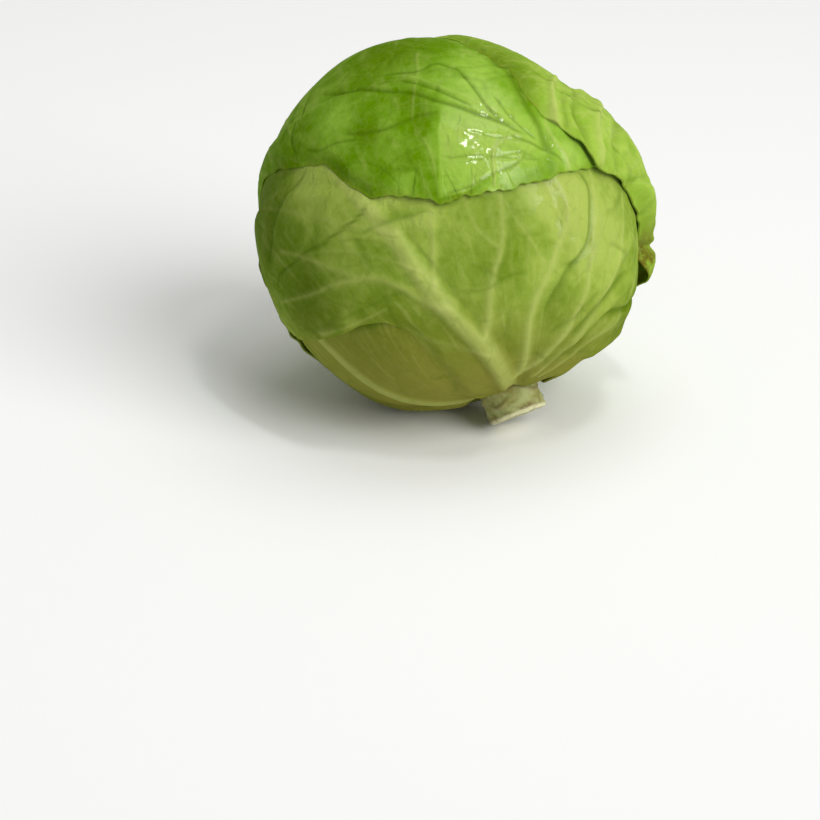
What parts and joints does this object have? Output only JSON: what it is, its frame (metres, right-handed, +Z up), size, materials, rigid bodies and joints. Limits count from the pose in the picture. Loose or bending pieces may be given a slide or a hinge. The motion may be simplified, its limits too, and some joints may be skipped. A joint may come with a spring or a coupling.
{
  "type": "cabbage head",
  "caption": "Whole round green cabbage lying tipped over: waxy wrapper leaves with pale ribs folded over a dense heart, and a short cut stump.",
  "frame": {"origin": "middle of the small flat spot that the head rests on, straight below the centre of the heart", "axes": "+Z up, -Y towards the side that the front leaf covers, +X to its right; the stump leans out 35 degrees from straight down, to the front and right"},
  "size_m": [0.1712, 0.1623, 0.1576],
  "materials": {
    "heart": "satin",
    "stump": "matt",
    "leaf_inner_left": "waxy satin",
    "leaf_inner_right": "waxy satin",
    "leaf_front": "waxy satin",
    "leaf_cap": "waxy gloss",
    "leaf_back_left": "waxy satin",
    "leaf_right": "waxy gloss"
  },
  "bodies": {
    "root": {"heart": "heart", "stump": "stump", "leaf_inner_left": "leaf_inner_left", "leaf_inner_right": "leaf_inner_right", "leaf_front": "leaf_front", "leaf_cap": "leaf_cap", "leaf_back_left": "leaf_back_left", "leaf_right": "leaf_right"}
  },
  "joints": []
}
